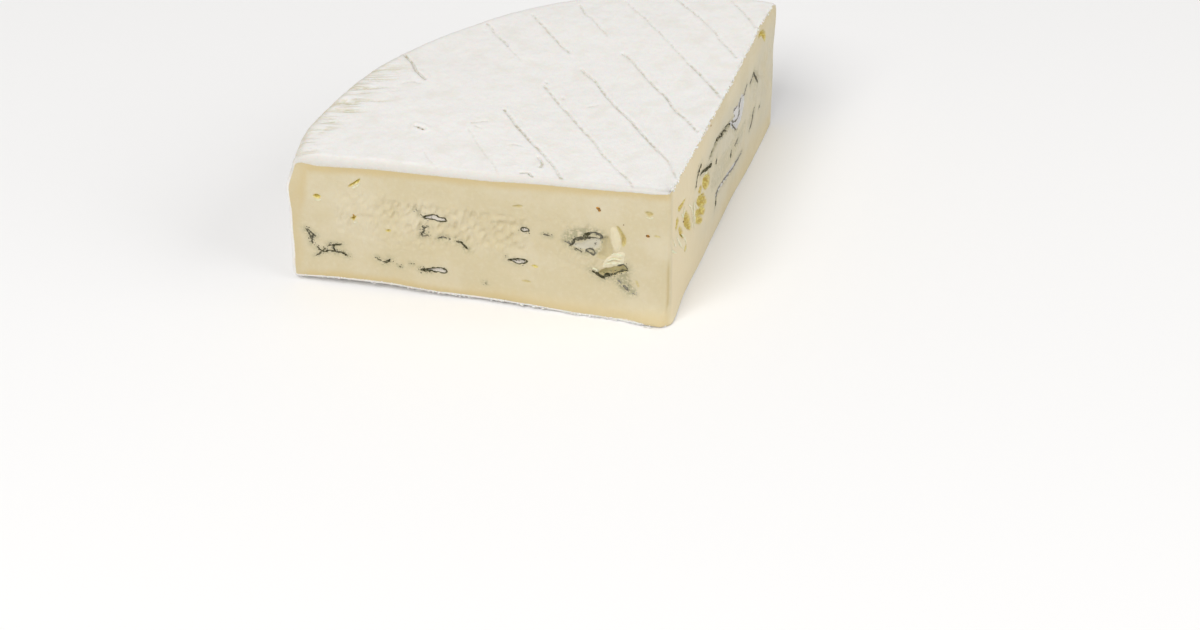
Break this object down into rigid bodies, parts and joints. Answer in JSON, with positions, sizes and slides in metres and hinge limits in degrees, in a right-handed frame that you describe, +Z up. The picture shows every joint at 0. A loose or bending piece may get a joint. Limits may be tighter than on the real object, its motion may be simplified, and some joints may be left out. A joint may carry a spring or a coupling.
{
  "type": "blue brie wedge",
  "caption": "Wedge of soft blue cheese with a white mould rind: a sector of a low round cake with two flat cuts, a rounded rim, mat grooves on top and veined hollows in both cuts.",
  "frame": {"origin": "middle of the base's box, on the face that the wedge rests on", "axes": "+Z up; the tip where both cuts meet points to -Y and the round rind wall faces +Y"},
  "size_m": [0.1794, 0.1198, 0.0498],
  "materials": {
    "cream_paste": "moist soft cream paste with blue-green mould hollows, under a matt white mould rind"
  },
  "bodies": {
    "root": {"cheese_wedge": "cream_paste"}
  },
  "joints": []
}
